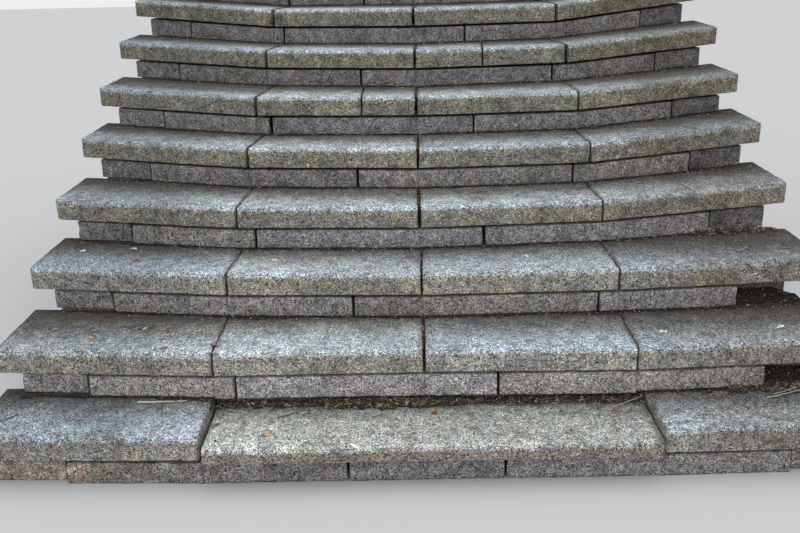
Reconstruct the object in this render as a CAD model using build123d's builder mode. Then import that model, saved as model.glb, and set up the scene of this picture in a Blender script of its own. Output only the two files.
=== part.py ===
from build123d import *
import os
from math import cos, radians, sin, tan

# A flight of outdoor stone steps. All sizes are in millimetres.
# +X runs along the treads, +Y goes uphill and +Z is up. The nosings face -Y.
# The origin is on the ground, in the middle of the flight's plan.

# Flight
course_count = 9
rise = 186
run = 330
first_run = 300
flight_half_width = 1650

# Tread slabs
slab_length = 800
slab_depth = 400
end_slab_depth = 440
slab_thickness = 90
slab_joint = 5
nosing_radius = 18
corner_radius = 22

# The long thin slab in the middle of the bottom course, which has slid forward. It reaches further right of the
# centre than left. The second riser's blocks behind it reach lower than the others.
thin_slab_left = 800
thin_slab_right = 834
thin_slab_thickness = 56
thin_slab_slide = 30
thin_slab_depth = 350
thin_slab_clearance = 10
middle_foot_drop = 18

# The short slab of the sixth course and the crack in the seventh, both measured from the centre joint
short_slab_length = 266
broken_joint = 5
crack_distance = 350
crack_lean = 40
crack_width = 3

# Riser blocks
long_block_length = 1000
short_block_length = 575
end_block_length = 270
riser_side_inset = 85
riser_setback = 6
end_block_recess = 20
block_depth = 120
block_chamfer = 4
block_joint = 5
mitre_joint = 2
shortest_block = 60
shadow_gap = 12
least_clip = 2
lost_end_blocks = (2, 3)

# Concrete bed
bed_side_inset = 30

# How far each slab of a course turns from +X, in degrees: left end, left, right, right end
turns = {
    1: (-2, 0, 0, 1),
    2: (-4.5, 0, -1, 3),
    3: (-8.5, -3, 1, 3.5),
    4: (-11.5, -3.5, 3.5, 10),
    5: (-16, -6, 3.5, 12.5),
    6: (-18, -6.5, 4, 14.5),
    7: (-20, -11.5, 7, 16),
    8: (-24, -12, 9, 18),
    9: (-25, -12, 9, 19),
}

# How far the left and right end slabs of a course tip up outwards, in degrees, where the middle has settled
tips = {
    1: (0, 0),
    2: (0, 0),
    3: (0, 0.5),
    4: (0.5, 1.5),
    5: (1, 2.5),
    6: (1.5, 2.5),
    7: (2, 3.5),
    8: (3, 5),
    9: (3, 5),
}

slab_names = ["left_end", "left", "right", "right_end"]
last_slab = len(slab_names) - 1
riser_half_width = flight_half_width - riser_side_inset
flight_height = course_count * rise
headroom = 2 * rise


def crossing(p, p_turn, q, q_turn):
    """Plan point where the line through p meets the line through q; each turn is from +X in degrees."""
    px, py = cos(radians(p_turn)), sin(radians(p_turn))
    qx, qy = cos(radians(q_turn)), sin(radians(q_turn))
    along = ((q[0] - p[0]) * qy - (q[1] - p[1]) * qx) / (px * qy - py * qx)
    return (p[0] + along * px, p[1] + along * py)


def set_back(p, turn, distance):
    """Point p moved towards the hill, square to a line that turns from +X."""
    return (p[0] - distance * sin(radians(turn)), p[1] + distance * cos(radians(turn)))


def nosing_points(course):
    """Plan points of a course's nosing: left end, left joint, centre joint, right joint, right end."""
    left_end, left, right, right_end = turns[course]
    nosing_y = 0 if course == 1 else first_run + (course - 2) * run
    left_reach, right_reach = (thin_slab_left, thin_slab_right) if course == 1 else (slab_length, slab_length)
    left_joint = (-left_reach * cos(radians(left)), nosing_y - left_reach * sin(radians(left)))
    right_joint = (right_reach * cos(radians(right)), nosing_y + right_reach * sin(radians(right)))
    return [
        crossing(left_joint, left_end, (-flight_half_width, 0), 90),
        left_joint,
        (0, nosing_y),
        right_joint,
        crossing(right_joint, right_end, (flight_half_width, 0), 90),
    ]


def joint_turns(course):
    """Direction of each joint line, left to right: the middle slabs are square at their outer ends."""
    left_end, left, right, right_end = turns[course]
    return [90, 90 + left, 90 + (left + right) / 2, 90 + right, 90]


def band(course, slab, near, far, start=None, finish=None, start_gap=0, finish_gap=0):
    """Outline of the stretch of a course under one slab, between two distances behind its nosing.

    start and finish are the X of a square cut across the stretch, and by default the slab's own joints.
    """
    points = nosing_points(course)
    ends = joint_turns(course)
    turn = turns[course][slab]
    low_point, low_turn = (points[slab], ends[slab]) if start is None else ((start, 0), 90)
    high_point, high_turn = (points[slab + 1], ends[slab + 1]) if finish is None else ((finish, 0), 90)
    low_point = (low_point[0] + start_gap, low_point[1])
    high_point = (high_point[0] - finish_gap, high_point[1])
    front = set_back(points[slab], turn, near)
    rear = set_back(points[slab], turn, far)
    return [
        crossing(front, turn, low_point, low_turn),
        crossing(front, turn, high_point, high_turn),
        crossing(rear, turn, high_point, high_turn),
        crossing(rear, turn, low_point, low_turn),
    ]


def tread_depth(slab):
    return end_slab_depth if slab in (0, last_slab) else slab_depth


def slab_outline(course, slab, near=0, far=None):
    """Plan outline of a tread slab, with half an open joint at each neighbour."""
    start_gap = slab_joint / 2 if slab > 0 else 0
    finish_gap = slab_joint / 2 if slab < last_slab else 0
    far = tread_depth(slab) if far is None else far
    return band(course, slab, near, far, start_gap=start_gap, finish_gap=finish_gap)


front_y = -thin_slab_slide
back_y = max(corner[1] for slab in range(4) for corner in slab_outline(course_count, slab))
middle_y = (front_y + back_y) / 2


def level(z):
    """Horizontal plane at height z, with plan coordinates that start under the first nosing."""
    return Plane(origin=(0, -middle_y, z))


def tipped(course, slab, height):
    """Plane of a course's end slab, hinged on the slab's joint line at the given height."""
    side = 1 if slab == 0 else -1
    joint = nosing_points(course)[1 if slab == 0 else 3]
    joint_turn = radians(joint_turns(course)[1 if slab == 0 else 3])
    tip = radians(tips[course][0 if slab == 0 else 1])
    return Plane(
        origin=(joint[0], joint[1] - middle_y, height),
        x_dir=(cos(joint_turn), sin(joint_turn), 0),
        z_dir=(side * sin(tip) * sin(joint_turn), -side * sin(tip) * cos(joint_turn), cos(tip)),
    )


def slab_plane(course, slab, height):
    return tipped(course, slab, height) if slab in (0, last_slab) else level(height)


def course_planes(course, height):
    """The three planes whose highest parts make the surface of a course at the given height."""
    return [slab_plane(course, slab, height) for slab in (0, 1, last_slab)]


def top_height(course):
    return course * rise


def tip_lift(course, slab, p):
    """How far an end slab's tipped top stands above the course's level tops at a plan point."""
    side = 1 if slab == 0 else -1
    joint = nosing_points(course)[1 if slab == 0 else 3]
    joint_turn = radians(joint_turns(course)[1 if slab == 0 else 3])
    tip = radians(tips[course][0 if slab == 0 else 1])
    return side * tan(tip) * ((p[1] - joint[1]) * cos(joint_turn) - (p[0] - joint[0]) * sin(joint_turn))


def foot_planes(course, slab, outline):
    """Planes that a riser block stands on. One that would only clip a corner gives way: the other rises to clear it."""
    below = course - 1
    if course == 2 and slab in (1, 2):
        return [level(top_height(below) - middle_foot_drop)]
    lift = 0
    planes = []
    for end in (0, last_slab):
        lifts = [tip_lift(below, end, corner) for corner in outline]
        if max(lifts) < least_clip:
            lift = max(lift, *lifts)
        elif min(lifts) > -least_clip:
            return [slab_plane(below, end, top_height(below) + max(0, -min(lifts)))]
        else:
            planes.append(slab_plane(below, end, top_height(below)))
    return [level(top_height(below) + lift), *planes]


def bearing_height(course):
    return course * rise - slab_thickness


def block_cuts(course):
    """Block ends along a riser course. The short block lies beside the left end block, and the right one by turns."""
    side = riser_half_width
    short_end = end_block_length + short_block_length - side
    long_end = short_end + long_block_length
    if course == 1:
        middle = [-long_end, long_end]
    elif course == course_count:
        middle = [short_end, -long_end, -short_end]
    elif course % 2:
        middle = [-long_end, -short_end]
    else:
        middle = [short_end, long_end]
    return [-side, end_block_length - side, *sorted(middle), side - end_block_length, side]


def block_outlines(course):
    """Blocks of a riser course, each with the slab above it: they are cut too where the course turns at a joint."""
    points = nosing_points(course)
    cuts = block_cuts(course)
    far = riser_setback + block_depth
    outlines = []
    for block, (low, high) in enumerate(zip(cuts, cuts[1:])):
        at_end = block in (0, len(cuts) - 2)
        if course in lost_end_blocks and block == len(cuts) - 2:
            continue
        near = riser_setback + (end_block_recess if at_end else 0)
        for slab in range(4):
            start = low if low > points[slab][0] + shortest_block else None
            finish = high if high < points[slab + 1][0] - shortest_block else None
            if high < points[slab][0] + shortest_block or low > points[slab + 1][0] - shortest_block:
                continue
            start_gap = mitre_joint / 2 if start is None else block_joint / 2
            finish_gap = mitre_joint / 2 if finish is None else block_joint / 2
            outlines.append((slab, band(course, slab, near, far, start, finish, start_gap, finish_gap)))
    return outlines


def rear_line(course, far, side):
    """Plan points, left to right, of a line behind a course's nosing, as far as each side."""
    points = []
    for slab in range(4):
        start = -side if slab == 0 else None
        finish = side if slab == last_slab else None
        outline = band(course, slab, 0, far(slab), start, finish)
        points += [outline[3], outline[2]]
    return points


def write(part, name):
    part.label = name
    export_step(part, f"parts/{name}.step")


def nosing_edge(solid, outline):
    """Top front edge of a slab: the edge of its top face nearest to the middle of its nosing."""
    top = solid.faces().sort_by(lambda face: face.normal_at().Z)[-1]
    x = (outline[0][0] + outline[1][0]) / 2
    y = (outline[0][1] + outline[1][1]) / 2 - middle_y
    return top.edges().sort_by(lambda edge: abs(edge.center().X - x) + abs(edge.center().Y - y))[0]


def make_slab(outline, course, slab, thickness):
    """A slab between two parallel planes, its outer plan corner and its nosing rounded."""
    bottom = bearing_height(course)
    with BuildPart() as made:
        with BuildSketch(level(0)):
            Polygon(*outline, align=None)
        extrude(amount=flight_height + headroom)
        split(bisect_by=slab_plane(course, slab, bottom + thickness), keep=Keep.BOTTOM)
        split(bisect_by=slab_plane(course, slab, bottom), keep=Keep.TOP)
        if slab in (0, last_slab):
            side = 1 if slab else -1
            uprights = made.edges().filter_by(Axis.Z).sort_by(Axis.X)
            outer = uprights[-2:] if side > 0 else uprights[:2]
            fillet(outer.sort_by(Axis.Y)[0], corner_radius)
        fillet(nosing_edge(made, outline), nosing_radius)
    return made.part


def make_block(outline, course, slab):
    """A riser block between the tread below and the slab above."""
    with BuildPart() as made:
        with BuildSketch(level(0)):
            Polygon(*outline, align=None)
        extrude(amount=flight_height)
        if course > 1:
            for plane in foot_planes(course, slab, outline):
                split(bisect_by=plane, keep=Keep.TOP)
        split(bisect_by=slab_plane(course, slab, bearing_height(course) - shadow_gap), keep=Keep.BOTTOM)
        downhill = (sin(radians(turns[course][slab])), -cos(radians(turns[course][slab])), 0)
        front = made.faces().sort_by(lambda face: face.normal_at().dot(Vector(*downhill)))[-1]
        chamfer(front.edges(), block_chamfer)
    return made.part


os.makedirs("parts", exist_ok=True)

# Tread slabs above the bottom course
for course in range(2, course_count + 1):
    centre_x, centre_y = nosing_points(course)[2]
    for slab, slab_name in enumerate(slab_names):
        whole = make_slab(slab_outline(course, slab), course, slab, slab_thickness)
        with BuildPart() as tread:
            add(whole)
            if course == 6 and slab == 1:
                with BuildSketch(level(0)):
                    with Locations((centre_x - short_slab_length, centre_y)):
                        Rectangle(broken_joint, 4 * slab_depth)
                extrude(amount=flight_height, mode=Mode.SUBTRACT)
            if course == 7 and slab == 2:
                crack = [
                    (centre_x + crack_distance, centre_y - slab_depth),
                    (centre_x + crack_distance + crack_lean / 4, centre_y + slab_depth / 3),
                    (centre_x + crack_distance + crack_lean, centre_y + 2 * slab_depth),
                ]
                far_side = [(x + crack_width, y) for x, y in reversed(crack)]
                with BuildSketch(level(0)):
                    Polygon(*crack, *far_side, align=None)
                extrude(amount=flight_height, mode=Mode.SUBTRACT)
        write(tread.part, f"tread_{course}_{slab_name}")

# Bottom course: a slab at each side, and the long thin slab between them
for slab, slab_name in ((0, "left"), (last_slab, "right")):
    outer_slab = make_slab(slab_outline(1, slab, 0, slab_depth), 1, slab, slab_thickness)
    write(outer_slab, f"tread_1_{slab_name}")
left_joint, right_joint = nosing_points(1)[1], nosing_points(1)[3]
left_side = ((left_joint[0] + slab_joint / 2, left_joint[1]), joint_turns(1)[1])
right_side = ((right_joint[0] - slab_joint / 2, right_joint[1]), joint_turns(1)[3])
thin_front = ((0, -thin_slab_slide), 0)
thin_rear = ((0, thin_slab_depth - thin_slab_slide), 0)
thin_outline = [
    crossing(*thin_front, *left_side),
    crossing(*thin_front, *right_side),
    crossing(*thin_rear, *right_side),
    crossing(*thin_rear, *left_side),
]
thin_slab = make_slab(thin_outline, 1, 1, thin_slab_thickness)
write(thin_slab, "tread_1_middle")

# Riser courses: each block stands on the tread below and stops short of the slab above
for course in range(1, course_count + 1):
    blocks = [make_block(outline, course, slab) for slab, outline in block_outlines(course)]
    with BuildPart() as riser:
        add(blocks)
    write(riser.part, f"riser_{course}")

# Room for the slabs and riser blocks, which is cut from the bed course by course
rooms = []
thin_room_depth = thin_slab_depth - thin_slab_slide + thin_slab_clearance
for course in range(1, course_count + 1):
    room_depth = tread_depth if course > 1 else lambda slab: thin_room_depth if slab in (1, 2) else slab_depth
    slab_room = (rear_line(course, room_depth, flight_half_width), course, bearing_height(course))
    block_room = (
        rear_line(course, lambda slab: riser_setback + block_depth, flight_half_width),
        course - 1,
        top_height(course - 1),
    )
    for rear, surface_course, height in (slab_room, block_room):
        if surface_course == 0:
            continue
        corners = [(-flight_half_width, front_y - slab_depth), *rear, (flight_half_width, front_y - slab_depth)]
        with BuildPart() as room:
            with BuildSketch(level(0)):
                Polygon(*corners, align=None)
            extrude(amount=flight_height + headroom)
            for plane in course_planes(surface_course, height):
                split(bisect_by=plane, keep=Keep.TOP)
        rooms.append(room.part)
second_riser = [band(2, slab, -slab_depth, riser_setback + block_depth) for slab in (1, 2)]
with BuildPart() as room:
    with BuildSketch(level(top_height(1) - middle_foot_drop)):
        for outline in second_riser:
            Polygon(*outline, align=None)
    extrude(amount=rise)
rooms.append(room.part)

# Concrete bed: one stepped mass from the ground up
bed_half_width = riser_half_width - bed_side_inset
bed_front = rear_line(1, lambda slab: riser_setback + block_depth, bed_half_width)
bed_back = rear_line(course_count, tread_depth, bed_half_width)
with BuildPart() as bed:
    with BuildSketch(level(0)):
        Polygon(*bed_front, *reversed(bed_back), align=None)
    extrude(amount=flight_height)
    add(rooms, mode=Mode.SUBTRACT)
write(bed.part, "concrete_bed")
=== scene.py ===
from functools import partial
from math import cos, pi, radians, sin, tan

import bpy
import numpy as np
from mathutils import Matrix, Vector


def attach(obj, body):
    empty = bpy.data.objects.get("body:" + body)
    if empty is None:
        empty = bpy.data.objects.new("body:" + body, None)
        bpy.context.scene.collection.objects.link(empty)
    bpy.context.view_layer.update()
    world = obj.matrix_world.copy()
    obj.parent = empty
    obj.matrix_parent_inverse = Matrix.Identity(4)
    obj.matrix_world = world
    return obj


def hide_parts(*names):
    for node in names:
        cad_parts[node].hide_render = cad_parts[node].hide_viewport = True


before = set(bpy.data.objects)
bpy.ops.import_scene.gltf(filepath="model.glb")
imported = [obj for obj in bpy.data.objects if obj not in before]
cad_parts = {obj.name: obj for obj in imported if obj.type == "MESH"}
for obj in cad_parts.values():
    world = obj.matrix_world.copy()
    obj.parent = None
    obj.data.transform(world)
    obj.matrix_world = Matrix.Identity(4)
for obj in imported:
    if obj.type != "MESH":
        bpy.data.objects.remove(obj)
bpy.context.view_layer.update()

# Sizes of the flight, in metres. The plan starts under the first nosing, and PLAN_SHIFT moves it
# to the row's frame.
COURSES = 9
RISE = 0.186
RUN = 0.330
FIRST_RUN = 0.300
HALF_WIDTH = 1.650
SLAB_LENGTH = 0.800
SLAB_DEPTH = 0.400
END_DEPTH = 0.440
THICKNESS = 0.090
JOINT = 0.005
THIN_THICKNESS = 0.056
THIN_SLIDE = 0.030
THIN_DEPTH = 0.350
THIN_LEFT = 0.800
THIN_RIGHT = 0.834
THIN_TOP = RISE - THICKNESS + THIN_THICKNESS
MIDDLE_FOOT_DROP = 0.005  # of riser 2's middle blocks, below the level of the first treads
FOOT_GAP = 0.003  # between any other block and the tread below it
SHORT_SLAB = 0.266
CRACK_AT = 0.350
CRACK_LEAN = 0.024
HALF_CUT = 0.0015
LONG_BLOCK = 1.000
SHORT_BLOCK = 0.575
END_BLOCK = 0.270
RISER_SIDE = HALF_WIDTH - 0.085
SETBACK = 0.006
END_RECESS = 0.020
BLOCK_DEPTH = 0.120
BLOCK_JOINT = 0.0055
MITRE = 0.0004
SHORTEST_BLOCK = 0.060
SHADOW_GAP = 0.012
LOST_END_BLOCKS = (2, 3)
HEAPS = {1: 1.15, 3: 1.22}  # courses with soil heaped at the right rear, and the X where it starts

# Turns of each course's four slabs from +X, and tips of its two end slabs outwards, in degrees
TURNS = {
    1: (-2, 0, 0, 1), 2: (-4.5, 0, -1, 3), 3: (-8.5, -3, 1, 3.5),
    4: (-11.5, -3.5, 3.5, 10), 5: (-16, -6, 3.5, 12.5), 6: (-18, -6.5, 4, 14.5),
    7: (-20, -11.5, 7, 16), 8: (-24, -12, 9, 18), 9: (-25, -12, 9, 19),
}
TIPS = {
    1: (0, 0), 2: (0, 0), 3: (0, 0.5), 4: (0.5, 1.5), 5: (1, 2.5),
    6: (1.5, 2.5), 7: (2, 3.5), 8: (3, 5), 9: (3, 5),
}
SLAB_NAMES = ("left_end", "left", "right", "right_end")
LAST = 3

# Joints that have opened, between slabs by course and joint from the left, and between riser blocks
# by course and the block before the joint
JOINT_WIDTHS = {
    (1, 1): 0.011, (1, 3): 0.006, (2, 2): 0.009, (4, 2): 0.011, (5, 1): 0.010, (5, 2): 0.009,
    (6, 1): 0.011, (6, 2): 0.009, (6, 3): 0.007, (7, 1): 0.010, (7, 2): 0.008, (7, 3): 0.016,
    (8, 1): 0.020, (8, 2): 0.010, (8, 3): 0.011, (9, 1): 0.009,
}
WIDE_BLOCK_JOINTS = {(2, 0): 0.009, (6, 1): 0.012, (4, 2): 0.009, (5, 1): 0.008}

# Wear: radii of worn edges, depths, and chips with their smallest and largest radius
NOSING_RADIUS = 0.027
ARRIS_RADIUS = 0.0035
BLOCK_ARRIS_RADIUS = 0.006
CORNER_RADIUS = 0.022
JOINT_CORNER_RADIUS = 0.010
WORN_DEPTH = 0.0012
LEAST_WORN = 0.0002
ARRIS_WORN = 0.0015
ARRIS_REACH = 0.012
TREAD_CHIPS = 7
BLOCK_CHIPS = 2
END_CHIPS = 3
SMALL_CHIP = (0.008, 0.016)
LARGE_CHIP = (0.018, 0.028)
END_CHIP = (0.007, 0.016)
CORNER_CHIP = (0.016, 0.026)
SMALL_SHARE = 0.8
SHARP_EDGE_SHARE = 0.6
CORNER_SHARE = 0.7

# Lattices of the stones: even steps, and finer ones in from an arris, a nosing and a block's face
GRID = 0.011
ARRIS = [0, 0.0015, 0.0035, 0.007, 0.012, 0.019]
NOSE = [0, 0.002, 0.005, 0.009, 0.013, 0.017, 0.022, 0.027, 0.034]
BLOCK_FACE = [0, 0.0015, 0.0035, 0.008, 0.02]
FINE_PAST_RUN = 0.055
COARSE_REAR = 0.03
BLOCK_REAR = 0.004

# Stained places: the flight's dark sides, a pale reddish patch on tread 2, a rusty block in riser 1
LEFT_SIDE = (0.75, 1.2)
RIGHT_SIDE = (0.7, 1.25)
PATCH_AT = (-1.52, 0.435)
PATCH_SIZE = (0.060, 0.028)
PATCH_SLANT = 0.8
RUST_EDGE = (-1.21, -1.20)

# Gains of tone from course to course: fronts and tops of treads, and blocks
FRONT_GAINS = (1.50, 1.64, 1.64)
UPPER_FRONT_GAIN, UPPER_FRONT_FADE = 1.32, 0.94
TOP_GAIN, TOP_FADE = 1.30, 0.012
FIRST_BLOCK_GAIN = 1.10
BLOCK_GAIN, BLOCK_GAIN_LEFT, BLOCK_FADE = 0.88, 0.62, 0.62
DARK_END_GAIN = 0.74

random = np.random.default_rng(7)
draw = random.uniform
columns = np.column_stack


# Plan of the courses


def crossing(p, p_turn, q, q_turn):
    """Plan point where the lines through p and q meet; each turn is from +X in degrees."""
    px, py = cos(radians(p_turn)), sin(radians(p_turn))
    qx, qy = cos(radians(q_turn)), sin(radians(q_turn))
    along = ((q[0] - p[0]) * qy - (q[1] - p[1]) * qx) / (px * qy - py * qx)
    return (p[0] + along * px, p[1] + along * py)


def set_back(p, turn, distance):
    """Point p moved uphill, square to a line that turns from +X."""
    angle = radians(turn)
    return (p[0] - distance * sin(angle), p[1] + distance * cos(angle))


def nosing_points(course):
    """Plan points of a course's nosing: left end, the three joints, right end."""
    left_end, left, right, right_end = TURNS[course]
    y = 0 if course == 1 else FIRST_RUN + (course - 2) * RUN
    left_reach, right_reach = (THIN_LEFT, THIN_RIGHT) if course == 1 else (SLAB_LENGTH,) * 2
    left_turn, right_turn = radians(left), radians(right)
    left_joint = (-left_reach * cos(left_turn), y - left_reach * sin(left_turn))
    right_joint = (right_reach * cos(right_turn), y + right_reach * sin(right_turn))
    return [
        crossing(left_joint, left_end, (-HALF_WIDTH, 0), 90),
        left_joint,
        (0, y),
        right_joint,
        crossing(right_joint, right_end, (HALF_WIDTH, 0), 90),
    ]


def joint_turns(course):
    """Direction of each joint line, left to right."""
    left, right = TURNS[course][1:3]
    return [90, 90 + left, 90 + (left + right) / 2, 90 + right, 90]


def band(course, slab, near, far, start=None, finish=None, start_gap=0, finish_gap=0):
    """Corners of the part of a course under one slab, between two distances behind its nosing."""
    points = nosing_points(course)
    ends = joint_turns(course)
    turn = TURNS[course][slab]
    low_point, low_turn = points[slab], ends[slab]
    high_point, high_turn = points[slab + 1], ends[slab + 1]
    if start is not None:
        low_point, low_turn = (start, 0), 90
    if finish is not None:
        high_point, high_turn = (finish, 0), 90
    low_point = (low_point[0] + start_gap, low_point[1])
    high_point = (high_point[0] - finish_gap, high_point[1])
    front = set_back(points[slab], turn, near)
    rear = set_back(points[slab], turn, far)
    return [
        crossing(front, turn, low_point, low_turn),
        crossing(front, turn, high_point, high_turn),
        crossing(rear, turn, high_point, high_turn),
        crossing(rear, turn, low_point, low_turn),
    ]


def tread_depth(slab):
    return END_DEPTH if slab in (0, LAST) else SLAB_DEPTH


def joint_width(course, joint):
    return JOINT_WIDTHS.get((course, joint), JOINT)


def slab_corners(course, slab):
    start_gap = joint_width(course, slab) / 2 if slab > 0 else 0
    finish_gap = joint_width(course, slab + 1) / 2 if slab < LAST else 0
    return band(course, slab, 0, tread_depth(slab), start_gap=start_gap, finish_gap=finish_gap)


back_y = max(corner[1] for slab in range(4) for corner in slab_corners(COURSES, slab))
PLAN_SHIFT = -(back_y - THIN_SLIDE) / 2


def tip_lift(course, slab, x, y):
    """How far an end slab's tipped top stands above the course's level tops."""
    side, index, tip = (1, 1, 0) if slab == 0 else (-1, 3, 1)
    joint, turn = nosing_points(course)[index], radians(joint_turns(course)[index])
    slope = tan(radians(TIPS[course][tip]))
    return side * slope * ((y - joint[1]) * cos(turn) - (x - joint[0]) * sin(turn))


def slab_lift(course, slab, x, y):
    return tip_lift(course, slab, x, y) if slab in (0, LAST) else np.zeros_like(x)


def surface(course, x, y):
    """Height of the top of a course."""
    tipped = np.maximum(tip_lift(course, 0, x, y), tip_lift(course, LAST, x, y))
    return course * RISE + np.maximum(0, tipped)


def block_cuts(course):
    """Block ends along a riser course."""
    side = RISER_SIDE
    short_end = END_BLOCK + SHORT_BLOCK - side
    long_end = short_end + LONG_BLOCK
    middle = [-long_end, -short_end] if course % 2 else [short_end, long_end]
    if course == 1:
        middle = [-long_end, long_end]
    if course == COURSES:
        middle = [short_end, -long_end, -short_end]
    return [-side, END_BLOCK - side, *middle, side - END_BLOCK, side]


def block_bands(course):
    """Each block's stretches: slab above, corners, and which ends join its other stretches."""
    points = nosing_points(course)
    cuts = block_cuts(course)
    blocks = []
    for block, (low, high) in enumerate(zip(cuts, cuts[1:])):
        at_end = block in (0, len(cuts) - 2)
        if course in LOST_END_BLOCKS and block == len(cuts) - 2:
            continue
        near = SETBACK + (END_RECESS if at_end else 0)
        stretches = []
        for slab in range(4):
            slab_low = points[slab][0] + SHORTEST_BLOCK
            slab_high = points[slab + 1][0] - SHORTEST_BLOCK
            if high < slab_low or low > slab_high:
                continue
            start = low if low > slab_low else None
            finish = high if high < slab_high else None
            gaps = []
            for cut, index in ((start, block - 1), (finish, block)):
                wide = WIDE_BLOCK_JOINTS.get((course, index), BLOCK_JOINT)
                gaps.append(MITRE / 2 if cut is None else wide / 2)
            corners = band(course, slab, near, SETBACK + BLOCK_DEPTH, start, finish, *gaps)
            stretches.append((slab, corners))
        for index, (slab, corners) in enumerate(stretches):
            blocks.append((block, slab, corners, (index > 0, index < len(stretches) - 1)))
    return blocks


# Noise


def cell_value(x, y, z, seed):
    """A repeatable random number from 0 to 1 for each whole-number cell."""
    h = (x * 73856093) ^ (y * 19349663) ^ (z * 83492791) ^ (seed * 961748927)
    h &= 0xFFFFFFFF
    h = ((h ^ (h >> 13)) * 1274126177) & 0xFFFFFFFF
    h = ((h ^ (h >> 15)) * 668265263) & 0xFFFFFFFF
    return (h ^ (h >> 16)) / 4294967296.0


def noise(p, size, seed=0):
    """Smooth noise from -1 to 1 with the given grain size in metres."""
    q = np.asarray(p) / size
    cell = np.floor(q).astype(np.int64)
    f = q - cell
    f = f * f * (3 - 2 * f)
    total = np.zeros(len(q))
    for corner in range(8):
        step = [(corner >> axis) & 1 for axis in range(3)]
        weight = np.prod(np.where(step, f, 1 - f), axis=1)
        total += weight * cell_value(*(cell + step).T, seed)
    return total * 2 - 1


def fractal(p, size, octaves, seed=0):
    """Several octaves of noise, each half as large and half as strong as the last."""
    total = sum(noise(p, size / 2**i, seed + 31 * i) / 2**i for i in range(octaves))
    return total / (2 - 2 ** (1 - octaves))


def smooth(low, high, value):
    t = np.clip((value - low) / (high - low), 0, 1)
    return t * t * (3 - 2 * t)


# Stone meshes


def quads(ids):
    """Faces of a grid of point numbers."""
    around = [ids[:-1, :-1], ids[1:, :-1], ids[1:, 1:], ids[:-1, 1:]]
    return np.stack(around, axis=-1).reshape(-1, 4)


def lattice_box(nx, ny, nz):
    """Surface lattice of a box: index triples, quads, and the underside's ring as one face."""
    shape = (nx + 1, ny + 1, nz + 1)
    i, j, k = np.indices(shape)
    shell = (k == nz) | (i == 0) | (i == nx) | (j == 0) | (j == ny)
    ids = np.full(shape, -1)
    ids[shell] = np.arange(shell.sum())
    sides = (ids[:, :, nz], ids[:, 0, :], ids[::-1, ny, :], ids[0, ::-1, :], ids[nx, :, :])
    faces = np.concatenate([quads(side) for side in sides])
    ring = [ids[0, b, 0] for b in range(ny)] + [ids[a, ny, 0] for a in range(nx)]
    ring += [ids[nx, b, 0] for b in range(ny, 0, -1)] + [ids[a, 0, 0] for a in range(nx, 0, -1)]
    return np.argwhere(shell), faces, ring


def across(c, a, b):
    """Points at the shares a of the length and b of the depth of an outline with four corners."""
    return (1 - a) * (1 - b) * c[0] + a * (1 - b) * c[1] + a * b * c[2] + (1 - a) * b * c[3]


def bar(corners, nx, rows):
    """Lattice over four corners: which points are on top, their shares of the depth, plan points,
    the same at height 0, faces and ring."""
    triples, faces, ring = lattice_box(nx, rows, 1)
    b = triples[:, 1:2] / rows
    xy = across(np.array(corners), triples[:, :1] / nx, b)
    return triples[:, 2] == 1, b[:, 0], xy, columns([xy, np.zeros(len(xy))]), faces, ring


def ticks(length, low, high):
    """Lattice positions along a side: given distances from either end, and even steps between."""
    low = [d for d in low if d < length / 2]
    high = [d for d in high if d < length / 2]
    a, b = low[-1], length - high[-1]
    count = max(1, round((b - a) / GRID))
    middle = np.linspace(a, b, count + 1)[1:-1]
    return np.array(low + list(middle) + [length - d for d in reversed(high)])


def vertex_normals(points, faces):
    a, b, c, d = (points[faces[:, n]] for n in range(4))
    n = np.cross(c - a, d - b)
    sums = [np.bincount(faces.ravel(), np.repeat(n[:, i], 4), len(points)) for i in range(3)]
    out = columns(sums)
    return out / np.maximum(np.linalg.norm(out, axis=1, keepdims=True), 1e-12)


def round_edges(p, size, r, joined):
    """Rounds a box's edges, but not of its underside or of ends that join another stretch."""
    low = np.full_like(p, r)
    high = np.tile(size - r, (len(p), 1))
    low[:, 2] = np.minimum(p[:, 2], r)
    if joined[0]:
        low[:, 0] = np.minimum(p[:, 0], r)
    if joined[1]:
        high[:, 0] = np.maximum(p[:, 0], size[0] - r)
    q = np.minimum(np.maximum(p, low), high)
    v = p - q
    length = np.linalg.norm(v, axis=1, keepdims=True)
    return np.where(length > 1e-9, q + v * r / np.maximum(length, 1e-9), p)


def round_corner(p, axes, centre, out):
    """Bends the square edge beyond a centre, in the plane of two axes, to an arc around it."""
    v = (p[:, axes] - centre) * out
    beyond = (v > 0).all(axis=1)
    scale = np.where(beyond, v.max(axis=1) / np.maximum(np.hypot(*v.T), 1e-9), 1)
    bent = centre + out * v * scale[:, None]
    p[:, axes] = np.where(beyond[:, None], bent, p[:, axes])
    return p


def knock_off(points, centre, radius, seed):
    """A chip: whatever of the stone is inside a rough ball is pushed to its surface."""
    v = points - centre
    rough = radius * (1 + 0.22 * noise(points, radius * 0.7, seed))
    length = np.linalg.norm(v, axis=1)
    inside = length < rough
    scale = rough[inside] / np.maximum(length[inside], 1e-6)
    points[inside] = centre + v[inside] * scale[:, None]


def paint(mesh, layer_name, values):
    """Four numbers for each point, as a layer that the materials read."""
    layer = mesh.color_attributes.new(layer_name, "FLOAT_COLOR", "POINT")
    layer.data.foreach_set("color", np.asarray(values, np.float32).ravel())


def new_mesh(name, points, faces):
    mesh = bpy.data.meshes.new(name)
    mesh.from_pydata(np.asarray(points).tolist(), [], faces)
    return mesh


def add_object(name, data):
    thing = bpy.data.objects.new(name, data)
    bpy.context.scene.collection.objects.link(thing)
    return thing


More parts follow.
